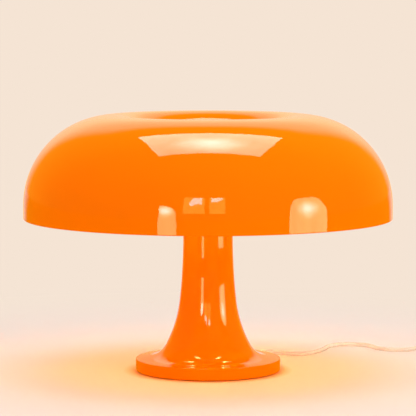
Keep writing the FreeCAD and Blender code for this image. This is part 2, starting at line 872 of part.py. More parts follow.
def make_bulb(index):
    """Frosted capsule on a short base with two flat pins."""
    tag = index + 1
    tube_end = bulb_shoulder + s.bulb_tube_length
    inner = s.bulb_radius - s.bulb_wall
    outline = Outline(bulb_shoulder, inner).line(bulb_shoulder, s.bulb_radius)
    outline.line(tube_end, s.bulb_radius)
    outline.arc(tube_end + s.bulb_radius, 0, s.bulb_radius, -1)
    outline.line(tube_end + inner, 0)
    outline.arc(tube_end, inner, inner, +1)
    glass = turned(f"bulb_envelope_{tag}", outline, "H_Axis")
    node(f"bulb_envelope_{tag}", at_socket(glass, index))
    foot = turned(f"bulb_base_{tag}", rectangle(bulb_base, 0, bulb_shoulder, s.bulb_radius),
                  "H_Axis")
    node(f"bulb_base_{tag}", at_socket(foot, index))
    pins = [box(f"bulb_pin_{tag}_{side}", bulb_base - s.bulb_pin_length, -s.bulb_pin_width / 2,
                side * s.pin_offset - s.bulb_pin_thickness / 2,
                s.bulb_pin_length, s.bulb_pin_width, s.bulb_pin_thickness)
            for side in (-1, 1)]
    node(f"bulb_pins_{tag}", at_socket(group(f"bulb_pins_{tag}", pins), index))


def make_socket_metal():
    """Contact strips in the slots, and the screws of all four flanges."""
    strips, screws = [], []
    start = socket_rear - s.contact_tail
    for index in range(SOCKET_COUNT):
        for side in (-1, 1):
            strip = box(f"contact_{index}_{side}", start, -s.contact_width / 2,
                        side * s.pin_offset - s.contact_thickness / 2,
                        s.contact_tail + s.contact_reach, s.contact_width, s.contact_thickness)
            screw = pan_screw(f"flange_screw_{index}_{side}", s.flange_screw_radius,
                              s.flange_screw_length, s.flange_screw_head_radius,
                              s.flange_screw_head_height)
            place(screw, x=flange_front, y=side * s.flange_screw_offset)
            strips.append(at_socket(group(f"contact_set_{index}_{side}", [strip]), index))
            screws.append(at_socket(group(f"screw_set_{index}_{side}", [screw]), index))
    node("socket_contacts", group("socket_contacts", strips))
    node("socket_screws", group("socket_screws", screws))


# ---------------------------------------------------------------------------------------------
# Stem, foot and ballast
# ---------------------------------------------------------------------------------------------

def make_stem():
    """Stem, flare and foot in one wall, with the notch for the cord's strain relief."""
    wall = s.stem_wall
    tops = (s.flare_top_radius, s.flare_middle_radius, s.flare_low_radius)
    angles = (s.flare_top_angle, s.flare_middle_angle, s.flare_low_angle)
    joints = ((flare_middle_r, flare_middle_z), (flare_low_r, flare_low_z),
              (flare_end_r, flare_end_z))
    outline = Outline(s.foot_radius, s.foot_gap).line(s.foot_radius, s.foot_height)
    outline.line(*joints[2])
    outline.arc(*joints[1], tops[2], -1).arc(*joints[0], tops[1], -1)
    outline.arc(s.stem_radius, flare_top_z, tops[0], -1)
    outline.line(s.stem_radius, stem_top).line(s.stem_radius - wall, stem_top)
    outline.line(s.stem_radius - wall, flare_top_z)
    for (r, z), radius, angle in zip(joints, tops, angles):
        outline.arc(r - wall * cosine(angle), z - wall * sine(angle), radius + wall, +1)
    outline.line(foot_inner_radius, ballast_top).line(foot_inner_radius, s.foot_gap)
    shell = turned("stem_shell", outline)
    rounded(shell, s.foot_rounding, lambda edge: (
        edge_at_height(s.foot_height)(edge)
        or edge_at_height(s.foot_gap)(edge)
        and edge.BoundBox.XMax > s.foot_radius.value - NEAR))
    reach = s.stem_wall * 3
    start = s.foot_radius - s.stem_wall * 2
    gate = s.bush_radius + s.bush_clearance
    arch = rod("notch_arch", gate, reach, x=start, z=s.exit_height, along=X_AXIS)
    mouth = box("notch_mouth", start, -gate, 0, reach, gate * 2, s.exit_height)
    notch = place(fused("notch", [arch, mouth]), turn=s.exit_azimuth)
    node("stem_base", cut("stem_base", shell, [notch]))


def make_underside():
    """Pad ring, cover and stepped ballast, open along the cord's way in."""
    slot = s.ballast_slot_width
    pad = rectangle(pad_outer_radius - s.pad_width, 0, pad_outer_radius, s.pad_thickness)
    node("foot_pad", turned("foot_pad", pad))

    cover_radius = foot_inner_radius - s.cover_clearance
    plate = extruded("cover_plate", [Circle(0, 0, cover_radius)], s.cover_thickness)
    way = box("cover_way", pad_outer_radius - s.bush_collar_thickness * 2, -slot / 2,
              -s.cover_thickness, s.foot_radius, slot, s.cover_thickness * 3)
    holes = [at_cover_screw(index, cover_screw(f"cover_hole_{index}", s.cover_clearance / 2))
             for index in range(int(s.cover_screw_count.value))]
    gate = place(group("cover_gate", [way]), turn=s.exit_azimuth)
    cover = cut("base_cover", plate, [gate] + holes)
    node("base_cover", place(cover, z=cover_base))

    disc_radius = foot_inner_radius - s.ballast_clearance
    outline = Outline(s.rod_radius + s.rod_clearance, nut_pocket_top)
    outline.line(s.nut_pocket_radius, nut_pocket_top).line(s.nut_pocket_radius, ballast_base)
    outline.line(disc_radius, ballast_base).line(disc_radius, ballast_top)
    outline.line(s.ballast_hub_radius, ballast_top).line(s.ballast_hub_radius, hub_top)
    outline.line(s.rod_radius + s.rod_clearance, hub_top)
    disc = turned("ballast_disc", outline)
    channel = box("ballast_channel", s.ballast_slot_reach, -slot / 2, 0, s.foot_radius, slot,
                  hub_top + PAST)
    taps = [rod(f"clamp_tap_{side}", s.clamp_screw_radius + s.thread_play,
                s.clamp_screw_depth + PAST,
                x=clamp_x + s.clamp_length / 2, y=side * s.clamp_screw_offset,
                z=hub_top - s.clamp_screw_depth)
            for side in (-1, 1)]
    inlet = place(group("ballast_inlet", [channel] + taps), turn=s.exit_azimuth)
    screw_taps = [at_cover_screw(index, rod(f"cover_tap_{index}",
                                            s.cover_screw_radius + s.thread_play,
                                            s.cover_screw_length + s.screw_end_gap))
                  for index in range(int(s.cover_screw_count.value))]
    taps_set = place(group("cover_taps", screw_taps), z=cover_base)
    node("ballast_weight", cut("ballast_weight", disc, [inlet, taps_set]))
    node("ballast_nut", hex_nut("ballast_nut", lower_nut_base))
    node("ballast_washer", washer("ballast_washer", s.washer_radius, s.washer_thickness,
                                  lower_washer_base))
    screws = [at_cover_screw(index, cover_screw(f"cover_screw_{index}", 0))
              for index in range(int(s.cover_screw_count.value))]
    node("cover_screws", place(group("cover_screws", screws), z=cover_base))


def cover_screw(label, play):
    """Countersunk screw, or the hole for it where play is not 0; its head is flush below."""
    head = s.cover_screw_head_radius + play
    neck = s.cover_screw_radius + play
    length = s.cover_screw_length
    slope = s.cover_screw_head_radius - s.cover_screw_radius
    outline = Outline(0, 0).line(head, 0).line(neck, slope).line(neck, length).line(0, length)
    return turned(label, outline)


def at_cover_screw(index, obj):
    """Puts a piece of the cover's fastening on its circle, clear of the cord's way in."""
    angle = s.exit_azimuth + 180 + as_size(360) * index / s.cover_screw_count
    return place(obj, s.cover_screw_circle * cosine(angle), s.cover_screw_circle * sine(angle))


# ---------------------------------------------------------------------------------------------
# Wiring inside the lamp
# ---------------------------------------------------------------------------------------------

block_far = s.block_near + s.block_depth
clamp_x = block_far + s.clamp_gap
cord_on_hub = hub_top + s.hub_clearance + cord_radius
bush_tip = s.foot_radius + s.bush_length
wire_exit = block_far - s.block_screw_inset


def make_terminals():
    """Terminal block and cord clamp on the ballast's hub, with their screws."""
    base = box("block_base", s.block_near, -s.block_width / 2, hub_top, s.block_depth,
               s.block_width, s.block_height)
    top = hub_top + s.block_height
    well_x = s.block_near + s.block_screw_inset
    wells = [rod(f"block_well_{side}", s.block_screw_radius + s.screw_play,
                 s.block_screw_depth + PAST,
                 x=well_x, y=side * s.block_pole_offset, z=top - s.block_screw_depth)
             for side in (-1, 1)]
    block = cut("terminal_block", base, wells)
    node("terminal_block", place(block, turn=s.exit_azimuth))
    screws = [rod(f"block_screw_{side}", s.block_screw_radius,
                  s.block_screw_depth - s.screw_sink,
                  x=well_x, y=side * s.block_pole_offset, z=top - s.block_screw_depth)
              for side in (-1, 1)]
    node("terminal_screws", place(group("terminal_screws", screws), turn=s.exit_azimuth))

    bridge = box("clamp_bridge", clamp_x, -s.clamp_width / 2, hub_top, s.clamp_length,
                 s.clamp_width, s.clamp_height)
    grip = cord_radius + s.thread_play
    arch = rod("clamp_arch", grip, s.clamp_length + 2 * PAST, x=clamp_x - PAST, z=cord_on_hub,
               along=X_AXIS)
    mouth = box("clamp_mouth", clamp_x - PAST, -grip, hub_top - PAST, s.clamp_length + 2 * PAST,
                grip * 2, s.hub_clearance + cord_radius + PAST)
    middle = clamp_x + s.clamp_length / 2
    holes = [rod(f"clamp_hole_{side}", s.clamp_screw_radius + s.screw_play,
                 s.clamp_height + 2 * PAST, x=middle, y=side * s.clamp_screw_offset,
                 z=hub_top - PAST)
             for side in (-1, 1)]
    clamp = cut("cord_clamp", bridge, [arch, mouth] + holes)
    node("cord_clamp", place(clamp, turn=s.exit_azimuth))
    screws = []
    for side in (-1, 1):
        reach = s.clamp_screw_depth - s.screw_end_gap
        shank = rod(f"clamp_shank_{side}", s.clamp_screw_radius, s.clamp_height + reach,
                    x=middle, y=side * s.clamp_screw_offset, z=hub_top - reach)
        head = rod(f"clamp_head_{side}", s.clamp_screw_head_radius, s.clamp_screw_head_height,
                   x=middle, y=side * s.clamp_screw_offset, z=hub_top + s.clamp_height)
        screws.append(fused(f"clamp_screw_{side}", [shank, head]))
    node("clamp_screws", place(group("clamp_screws", screws), turn=s.exit_azimuth))


def make_bush():
    """Tapered, ribbed strain relief that sits in the foot's notch."""
    play = s.bush_clearance
    collar = s.bush_collar_radius
    inner_face = foot_inner_radius - play * 3
    outer_face = s.foot_radius + play
    cone_start = outer_face + s.bush_collar_thickness
    bore = cord_radius + play / 2
    outline = Outline(inner_face - s.bush_collar_thickness, bore)
    outline.line(inner_face - s.bush_collar_thickness, collar).line(inner_face, collar)
    outline.line(inner_face, s.bush_radius).line(outer_face, s.bush_radius)
    outline.line(outer_face, collar).line(cone_start, collar)
    count = int(s.bush_ribs.value)
    pitch = (bush_tip - cone_start) / (2 * s.bush_ribs + 1)
    fall = (s.bush_radius - s.bush_tip_radius) / (2 * s.bush_ribs + 1)
    for index in range(count):
        x = cone_start + pitch * (2 * index + 1)
        r = s.bush_radius - fall * (2 * index + 1)
        if index == 0:
            outline.line(cone_start, s.bush_radius)
        outline.line(x, r).line(x, r - s.bush_rib_depth)
        outline.line(x + pitch, r - s.bush_rib_depth).line(x + pitch, r)
    outline.line(bush_tip, s.bush_tip_radius).line(bush_tip, bore)
    bush = turned("cord_bush", outline, "H_Axis")
    node("cord_bush", place(bush, z=s.exit_height, turn=s.exit_azimuth))


def make_inner_cord():
    """The cord from the strain relief's tip over the ballast's hub to the terminal block."""
    hub = cord_on_hub.value
    low = s.exit_height.value
    rise = hub - low
    slot_end = s.ballast_slot_reach.value
    points = [(bush_tip.value, 0, low), (slot_end + INLET_FAR, 0, low),
              (slot_end + INLET_MIDDLE, 0, low + rise * INLET_RISE),
              (slot_end + INLET_NEAR, 0, hub), (block_far.value, 0, hub)]
    tube = flex("cord_inner", points, cord_radius.value)
    node("cord_inner", place(tube, turn=s.exit_azimuth))


def make_wires():
    """Risers up the stem, crimp sleeves, and one bus wire per pole round the carrier."""
    radius = s.wire_radius.value
    azimuth = math.radians(s.exit_azimuth.value)
    outward = Vector(math.cos(azimuth), math.sin(azimuth), 0)
    sideways = Vector(-math.sin(azimuth), math.cos(azimuth), 0)
    sleeve_top = stem_top + s.carrier_floor + s.sleeve_proud
    sleeve_base = sleeve_top - s.sleeve_length
    risers, sleeves, buses = [], [], []
    for side, level in ((1, s.pin_offset), (-1, -s.pin_offset)):
        foot = outward * wire_exit.value - sideways * (side * s.block_pole_offset.value)
        low = hub_top.value + s.block_height.value
        goal = Vector(side * riser_radius.value, 0, 0)
        high = sleeve_base.value
        lift = (high - low) * RISER_BEND
        points = [foot + Z_AXIS * low, foot + Z_AXIS * (low + lift),
                  goal + Z_AXIS * (low + 3 * lift), goal + Z_AXIS * high]
        risers.append(flex(f"riser_{side}", points, radius))
        sleeve = turned(f"sleeve_{side}", rectangle(0, 0, s.sleeve_radius, s.sleeve_length))
        sleeves.append(place(sleeve, x=side * riser_radius, z=sleeve_base))
        height = (socket_axis + level).value
        buses.append(bus_wire(f"bus_{side}", side, sleeve_top.value, height, radius))
    node("riser_wires", group("riser_wires", risers))
    node("crimp_sleeves", group("crimp_sleeves", sleeves))
    node("bus_wires", group("bus_wires", buses))


def bus_wire(label, side, start, height, radius):
    """Rises or falls from a sleeve's top, bends over, and runs round past the four contacts."""
    ring, bend = s.bus_radius.value, s.wire_bend.value
    begin = math.atan2(bend, ring)
    finish = math.radians(socket_azimuth(SOCKET_COUNT - 1) + BUS_OVERRUN)

    def on_ring(angle):
        return Vector(side * ring * math.cos(angle), side * ring * math.sin(angle), height)

    ahead = Vector(-math.sin(begin), math.cos(begin), 0) * side
    corner = on_ring(begin) - ahead * bend
    up = Z_AXIS if height > start else -Z_AXIS
    foot = corner - up * bend
    knee = corner + (ahead - up) * bend * (1 - math.sqrt(0.5))
    edges = []
    lowest = Vector(corner.x, corner.y, start)
    edges.append(Part.LineSegment(lowest, foot).toShape())
    edges.append(Part.Arc(foot, knee, on_ring(begin)).toShape())
    middle = (begin + finish) / 2
    edges.append(Part.Arc(on_ring(begin), on_ring(middle), on_ring(finish)).toShape())
    total = (foot - lowest).Length + bend * math.pi / 2 + ring * (finish - begin)
    return sweep(label, edges, lowest, up, radius, total, [bend, ring])


# ---------------------------------------------------------------------------------------------
# Free cord, its switch, coil and plug
# ---------------------------------------------------------------------------------------------

def make_free_cord():
    """The cord's free stretches: to the switch, on to the coil, and from the coil to the plug."""
    radius = cord_radius.value
    azimuth = math.radians(s.exit_azimuth.value)
    outward = Vector(math.cos(azimuth), math.sin(azimuth), 0)
    back = Vector(0, 1, 0)
    tip = outward * bush_tip.value + Z_AXIS * s.exit_height.value
    half = back * (s.switch_length.value / 2)
    middle = Vector(*SWITCH_PLACE, s.switch_entry.value)
    run = [tip, tip + outward * EXIT_RUN] + CORD_ROUTE
    run += [middle + half + back * EXIT_RUN, middle + half]
    node("cord_run", flex("cord_run", run, radius))

    straight = back * s.cord_diameter.value
    entry = Vector(*COIL_ENTRY, radius) + straight
    lead = [middle - half, middle - half - back * END_RUN] + LEAD_ROUTE
    lead += [entry + back * END_RUN, entry]
    node("cord_lead", flex("cord_lead", lead, radius))

    leaving = Vector(*COIL_ENTRY, coil_height(s.coil_layers.value - 1)) - straight
    boot = Vector(*PLUG_PLACE, s.plug_height.value / 2) + back * s.boot_length.value
    end = [leaving, leaving - back * END_RUN] + END_ROUTE + [boot + back * END_RUN, boot]
    node("cord_end", flex("cord_end", end, radius))


def coil_height(layer):
    """Height of a layer's centre line."""
    return cord_radius.value + layer * (s.cord_diameter.value + s.coil_gap.value)


def make_coil():
    """One unbroken tube wound in layers that spiral in and out by turns.

    The spiral takes one wire's pitch for each turn. Where it reverses, the wire climbs to the
    next layer within half a turn, and its radius runs on past the layer's end and back.
    """
    pitch = s.cord_diameter.value + s.coil_gap.value
    layers = int(s.coil_layers.value)
    per_layer = (s.coil_turns.value - 0.5 * (layers - 1)) / layers
    mean = s.coil_mean_radius.value
    outer = mean + pitch * per_layer / 2
    inner = mean - pitch * per_layer / 2
    cx, cy = COIL_ENTRY
    centre = Vector(cx + outer, cy, 0)

    def place_at(turns):
        """Radius and height after a number of turns from the outer start."""
        cycle = per_layer + 0.5
        layer = min(int(turns // cycle), layers - 1)
        along = turns - layer * cycle
        inward = layer % 2 == 0
        if along <= per_layer:
            step = pitch * along
            return (outer - step if inward else inner + step), coil_height(layer)
        part = (along - per_layer) * 2
        over = pitch * part * (1 - part) / 2
        edge = inner - over if inward else outer + over
        return edge, coil_height(layer + part)

    def point(turns):
        radius, height = place_at(turns)
        angle = math.pi + 2 * math.pi * turns
        spot = Vector(radius * math.cos(angle), radius * math.sin(angle), height)
        return centre + spot

    def heading(turns):
        step = 1e-4
        low, high = max(turns - step, 0), min(turns + step, s.coil_turns.value)
        return (point(high) - point(low)).normalize()

    quarter = 0.25
    count = round(s.coil_turns.value / quarter)
    straight = s.cord_diameter.value
    down = Vector(0, -1, 0)
    start = point(0) - down * straight
    edges = [Part.LineSegment(start, point(0)).toShape()]
    headings = [heading(index * quarter) for index in range(count + 1)]
    headings[0] = headings[-1] = down
    for index in range(count):
        first, last = point(index * quarter), point((index + 1) * quarter)
        edges += biarc(first, headings[index], last, headings[index + 1])
    finish = point(s.coil_turns.value)
    edges.append(Part.LineSegment(finish, finish + down * straight).toShape())
    length = sum(edge.Length for edge in edges)
    tightest = min(edge.Curve.Radius for edge in edges if hasattr(edge.Curve, "Radius"))
    coil = sweep("cord_coil", edges, start, down, cord_radius.value, length,
                 [round(tightest, 1)])
    node("cord_coil", coil)
    gap = gap_to_itself(edges, s.cord_diameter.value)
    print(f"cord_coil: least gap to itself {gap:.2f}")


def biarc(p0, t0, p1, t1):
    """Two arcs that meet smoothly between two points with the given headings."""
    v = p1 - p0
    t = t0 + t1
    spread = 2 * (1 - t0.dot(t1))
    reach = (-v.dot(t) + math.sqrt(v.dot(t) ** 2 + spread * v.dot(v))) / spread
    joint = (p0 + p1 + (t0 - t1) * reach) * 0.5
    return [arc_from(p0, t0, joint), arc_from(p1, -t1, joint, True)]


def arc_from(start, heading, finish, backwards=False):
    """An arc that leaves start along heading and ends at finish."""
    chord = finish - start
    across = (chord - heading * chord.dot(heading)).normalize()
    radius = chord.dot(chord) / (2 * chord.dot(across))
    centre = start + across * radius
    middle = centre + ((start + finish) * 0.5 - centre).normalize() * radius
    ends = (finish, middle, start) if backwards else (start, middle, finish)
    return Part.Arc(*ends).toShape()


def gap_to_itself(edges, diameter):
    """Least distance between the wire's surfaces on points that are not next to each other."""
    points = [p for edge in edges for p in edge.discretize(8)[:-1]]
    skip = 30
    least = min((p - q).Length for i, p in enumerate(points) for q in points[i + skip:])
    return least - diameter


def at_switch(obj):
    """Made along its own X about its middle, with its underside on the table."""
    return place(obj, x=SWITCH_PLACE[0], y=SWITCH_PLACE[1], turn=-90)


def rounded_block(label, length, width, height, corner):
    """A block about the middle of its base, with round upright corners."""
    body = extruded(label, [rectangle(-length / 2, -width / 2, length / 2, width / 2)], height)
    rounded(body, corner, upright)
    return body


def make_switch():
    """Two half shells with a rocker that tips on a cross pin."""
    wall = s.switch_wall
    inner_length = s.switch_length - 2 * wall
    inner_width = s.switch_width - 2 * wall
    inner_corner = s.switch_corner - wall
    upper_height = s.switch_height - s.switch_split
    posts = [(1, 1), (-1, -1)]
    post_x = inner_length / 2 - s.switch_corner
    post_y = inner_width / 2 - s.switch_boss_radius + s.switch_boss_seat

    low = rounded_block("switch_low_block", s.switch_length, s.switch_width, s.switch_split,
                        s.switch_corner)
    rounded(low, s.switch_edge, edge_at_height(as_size(0)))
    low_hollow = rounded_block("switch_low_hollow", inner_length, inner_width, s.switch_split,
                               inner_corner)
    place(low_hollow, z=wall)
    tray = cut("switch_tray", low, [low_hollow])
    low_posts = [rod(f"switch_low_post_{i}", s.switch_boss_radius, s.switch_split - wall,
                     x=i * post_x, y=j * post_y, z=wall) for i, j in posts]
    holes = []
    for i, j in posts:
        holes.append(rod(f"switch_hole_{i}", s.switch_screw_radius + s.screw_play,
                         s.switch_height, x=i * post_x, y=j * post_y, z=-PAST))
        holes.append(rod(f"switch_sink_{i}", s.switch_screw_head_radius + s.screw_play,
                         s.switch_screw_head_height + PAST, x=i * post_x, y=j * post_y, z=-PAST))
    lower = cut("switch_lower_shell", fused("switch_low_whole", [tray] + low_posts), holes)
    node("switch_lower_shell", at_switch(lower))

    high = rounded_block("switch_high_block", s.switch_length, s.switch_width, upper_height,
                         s.switch_corner)
    rounded(high, s.switch_edge, edge_at_height(upper_height))
    high_hollow = rounded_block("switch_high_hollow", inner_length, inner_width, upper_height,
                                inner_corner)
    place(high_hollow, z=-wall)
    window = box("switch_window", -s.window_length / 2, -s.window_width / 2, 0,
                 s.window_length, s.window_width, upper_height + PAST)
    lid = cut("switch_lid", high, [high_hollow, window])
    pivot = s.rocker_pivot_height - s.switch_split
    ceiling = upper_height - wall
    ear_base = pivot - s.ear_depth
    ears = [box(f"switch_ear_{j}", -s.ear_width / 2,
                j * (s.window_width / 2 + s.ear_thickness / 2) - s.ear_thickness / 2, ear_base,
                s.ear_width, s.ear_thickness, ceiling - ear_base) for j in (-1, 1)]
    high_posts = [rod(f"switch_high_post_{i}", s.switch_boss_radius, ceiling,
                      x=i * post_x, y=j * post_y) for i, j in posts]
    pin_length = s.window_width + 2 * s.ear_thickness
    pin_hole = rod("switch_pin_hole", s.rocker_pin_radius + s.thread_play, pin_length + 2 * PAST,
                   y=-pin_length / 2 - PAST, z=pivot, along=Y_AXIS)
    pilots = [rod(f"switch_pilot_{i}", s.switch_screw_radius + s.thread_play,
                  s.switch_screw_engagement + s.screw_end_gap, x=i * post_x, y=j * post_y)
              for i, j in posts]
    upper = cut("switch_upper_blank", fused("switch_high_whole", [lid] + ears + high_posts),
                [pin_hole] + pilots)
    place(upper, z=s.switch_split)
    node("switch_upper_shell", at_switch(group("switch_upper_shell", [upper])))

    pin = rod("rocker_pin_bar", s.rocker_pin_radius, pin_length, y=-pin_length / 2,
              z=s.rocker_pivot_height, along=Y_AXIS)
    node("rocker_pin", at_switch(group("rocker_pin", [pin])))
    make_rocker()
    make_switch_metal(posts, post_x, post_y)


def make_rocker():
    """Rocker with a dished top, drawn level about its pivot and tipped to its rest."""
    half = s.rocker_length / 2
    crown = (half * half + s.rocker_dip * s.rocker_dip) / (2 * s.rocker_dip)
    belly = (half * half + s.rocker_keel * s.rocker_keel / 4) / s.rocker_keel
    outline = Outline(-half, s.rocker_rise)
    outline.line(-half, -s.rocker_drop)
    outline.arc(half, -s.rocker_drop, belly, +1)
    outline.line(half, s.rocker_rise)
    outline.arc(-half, s.rocker_rise, crown, -1)
    outline.corners.pop()
    bore = Circle(0, 0, s.rocker_pin_radius + s.rocker_pin_play)
    width = s.window_width - 2 * s.rocker_clearance
    body = extruded("rocker_level", [outline, bore], width, "XZ_Plane", midplane=True)
    tipped = place(body, z=s.rocker_pivot_height, turn=s.rocker_tilt, axis=Y_AXIS)
    node("switch_rocker", at_switch(group("switch_rocker", [tipped])))


def make_switch_metal(posts, post_x, post_y):
    """Brass strips under the rocker's ends, and the two screws that close the shells."""
    strips = []
    floor = s.switch_wall
    top = s.rocker_pivot_height - s.rocker_keel - s.rocker_length / 2 * sine(s.rocker_tilt)
    height = top - s.strip_gap - floor
    for side in (-1, 1):
        foot = box(f"strip_foot_{side}", side * s.strip_offset - s.strip_width / 2,
                   -s.strip_length / 2, floor, s.strip_width, s.strip_length, s.strip_thickness)
        post = box(f"strip_post_{side}", side * s.strip_offset - s.strip_thickness / 2,
                   -s.strip_length / 4, floor, s.strip_thickness, s.strip_length / 2, height)
        strips.append(fused(f"strip_{side}", [foot, post]))
    node("switch_contacts", at_switch(group("switch_contacts", strips)))
    screws = []
    sink = s.switch_screw_sink
    for i, j in posts:
        shank = rod(f"switch_shank_{i}", s.switch_screw_radius,
                    s.switch_split + s.switch_screw_engagement - sink, x=i * post_x,
                    y=j * post_y, z=sink)
        head = rod(f"switch_head_{i}", s.switch_screw_head_radius,
                   s.switch_screw_head_height - sink, x=i * post_x, y=j * post_y, z=sink)
        screws.append(fused(f"switch_screw_{i}", [shank, head]))
    node("switch_screws", at_switch(group("switch_screws", screws)))


def at_plug(obj):
    """Made along its own X from the body's rear; the pins point to -Y on the table."""
    return place(obj, x=PLUG_PLACE[0], y=PLUG_PLACE[1], z=s.plug_height / 2, turn=-90)


def make_plug():
    """Flat two-pin plug lying on the table, with a ribbed boot on the cord."""
    rear, half = s.plug_rear_width / 2, s.plug_width / 2
    taper = s.plug_length - s.plug_taper_start
    outline = Outline(0, -rear).line(taper, -half).line(s.plug_length, -half)
    outline.line(s.plug_length, half).line(taper, half).line(0, rear)
    body = extruded("plug_body", [outline], s.plug_height, midplane=True)
    rounded(body, s.plug_edge, lambda edge: edge.BoundBox.ZLength < NEAR
            and edge.BoundBox.XMin < s.plug_length.value - NEAR)
    node("plug_body", at_plug(body))
    pins = []
    for side in (-1, 1):
        radius = s.plug_pin_radius
        outline = Outline(0, 0).line(0, radius).line(s.plug_pin_length - radius, radius)
        outline.arc(s.plug_pin_length, 0, radius, -1)
        pin = turned(f"plug_pin_{side}", outline, "H_Axis")
        pins.append(place(pin, x=s.plug_length, y=side * s.plug_pin_spacing / 2))
    node("plug_pins", at_plug(group("plug_pins", pins)))
    outline = Outline(-s.boot_length, 0).line(0, 0).line(0, s.boot_radius)
    pitch = s.boot_length / (2 * s.boot_ribs + 1)
    fall = (s.boot_radius - s.boot_tip_radius) / (2 * s.boot_ribs + 1)
    for index in range(int(s.boot_ribs.value)):
        x = -pitch * (2 * index + 1)
        r = s.boot_radius - fall * (2 * index + 1)
        outline.line(x, r).line(x, r - s.boot_rib_depth)
        outline.line(x - pitch, r - s.boot_rib_depth).line(x - pitch, r)
    outline.line(-s.boot_length, s.boot_tip_radius)
    node("plug_boot", at_plug(turned("plug_boot", outline, "H_Axis")))


# ---------------------------------------------------------------------------------------------
# The whole lamp
# ---------------------------------------------------------------------------------------------

def check_and_export():
    """Stops on any failed object or bad solid, then writes one file for each node."""
    doc.recompute()
    failed = [obj.Label for obj in doc.Objects if {"Invalid", "Error"} & set(obj.State)]
    if failed:
        raise RuntimeError(f"failed objects: {failed}")
    for piece in nodes:
        shape = piece.Shape
        if shape.isNull() or not shape.isValid() or not shape.Solids:
            raise RuntimeError(f"{piece.Label} is not a valid solid")
    os.makedirs("parts", exist_ok=True)
    for piece in nodes:
        piece.Shape.exportStep(os.path.join("parts", piece.Label + ".step"))
    print(f"{len(nodes)} nodes written")


make_shade()
make_knob()
make_carrier()
for number in range(SOCKET_COUNT):
    make_socket(number)
    make_bulb(number)
make_socket_metal()
make_stem()
make_underside()
make_terminals()
make_bush()
make_inner_cord()
make_wires()
make_free_cord()
make_coil()
make_switch()
make_plug()
check_and_export()
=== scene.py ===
import json
import math

import bpy
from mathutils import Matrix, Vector


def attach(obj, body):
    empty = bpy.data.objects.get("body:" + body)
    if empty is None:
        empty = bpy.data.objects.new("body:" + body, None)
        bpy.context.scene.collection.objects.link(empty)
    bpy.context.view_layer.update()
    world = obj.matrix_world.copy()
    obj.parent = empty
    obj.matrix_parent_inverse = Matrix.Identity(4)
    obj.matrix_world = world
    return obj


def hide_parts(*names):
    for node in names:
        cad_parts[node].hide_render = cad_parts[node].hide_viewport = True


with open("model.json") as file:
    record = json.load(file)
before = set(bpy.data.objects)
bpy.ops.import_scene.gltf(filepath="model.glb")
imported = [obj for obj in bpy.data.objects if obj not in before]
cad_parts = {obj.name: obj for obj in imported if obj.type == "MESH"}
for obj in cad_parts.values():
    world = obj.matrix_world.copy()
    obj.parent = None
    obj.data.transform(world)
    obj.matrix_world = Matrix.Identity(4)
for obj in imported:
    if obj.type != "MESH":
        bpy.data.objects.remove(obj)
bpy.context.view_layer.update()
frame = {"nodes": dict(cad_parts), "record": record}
nodes = frame["nodes"]


def add(name, data):
    """A new object in the scene."""
    made = bpy.data.objects.new(name, data)
    bpy.context.scene.collection.objects.link(made)
    return made


# ---------------------------------------------------------------------------------------------
# Camera
# ---------------------------------------------------------------------------------------------

CAMERA_PLACE = (0.0, -2.0, 0.320537)
PITCH = 0.089
SENSOR_WIDTH = 36.0
LENS = 200.11
NEAREST, FARTHEST = 0.05, 100.0

camera = add("camera", bpy.data.cameras.new("camera"))
camera.location = CAMERA_PLACE
camera.rotation_euler = (math.pi / 2 - PITCH, 0.0, 0.0)
camera.data.sensor_width = SENSOR_WIDTH
camera.data.lens = LENS
camera.data.clip_start = NEAREST
camera.data.clip_end = FARTHEST
bpy.context.scene.camera = camera

# ---------------------------------------------------------------------------------------------
# Cords: the routes of the solids, in metres
# ---------------------------------------------------------------------------------------------

CORD_RADIUS = 0.0019

CORD_ROUTE = [
    (0.04703, 0.06717, 0.0048), (0.0539, 0.0770, 0.0048), (0.0654, 0.0816, 0.0024),
    (0.0811, 0.0786, 0.0019), (0.0937, 0.0849, 0.0019), (0.1064, 0.1071, 0.0019),
    (0.1123, 0.1317, 0.0019), (0.1301, 0.1429, 0.0019), (0.1499, 0.1353, 0.0019),
    (0.1558, 0.1143, 0.0019), (0.1706, 0.1042, 0.0019), (0.1881, 0.1078, 0.0019),
    (0.1990, 0.1280, 0.0019), (0.2120, 0.1460, 0.0019), (0.2290, 0.1515, 0.0022),
    (0.2438, 0.1435, 0.0042), (0.2490, 0.1270, 0.0065), (0.2490, 0.1150, 0.0065),
]
LEAD_ROUTE = [
    (0.2490, 0.0530, 0.0065), (0.2490, 0.0433, 0.0065), (0.2500, 0.0325, 0.0027),
    (0.2490, 0.0235, 0.0019), (0.2490, 0.0138, 0.0019),
]
END_ROUTE = [
    (0.2490, 0.0062, 0.0148), (0.2490, -0.0035, 0.0148), (0.2482, -0.0140, 0.0114),
    (0.2470, -0.0243, 0.00685), (0.2470, -0.0340, 0.00685),
]

COIL_TURNS = 10
COIL_LAYERS = 4
CLIMB_TURNS = 0.5
COIL_PITCH = 0.0043
COIL_MEAN = 0.0228
COIL_STEPS = 16
COIL_START = (0.249, 0.010)
LAYER_TURNS = (COIL_TURNS - CLIMB_TURNS * (COIL_LAYERS - 1)) / COIL_LAYERS
COIL_OUTER = COIL_MEAN + COIL_PITCH * LAYER_TURNS / 2
COIL_INNER = COIL_MEAN - COIL_PITCH * LAYER_TURNS / 2
COIL_CENTRE = (COIL_START[0] + COIL_OUTER, COIL_START[1])

# A spline of order 3 cuts its control points' corners, so these stand out by part of that.
CORNER_SHARE = 0.75

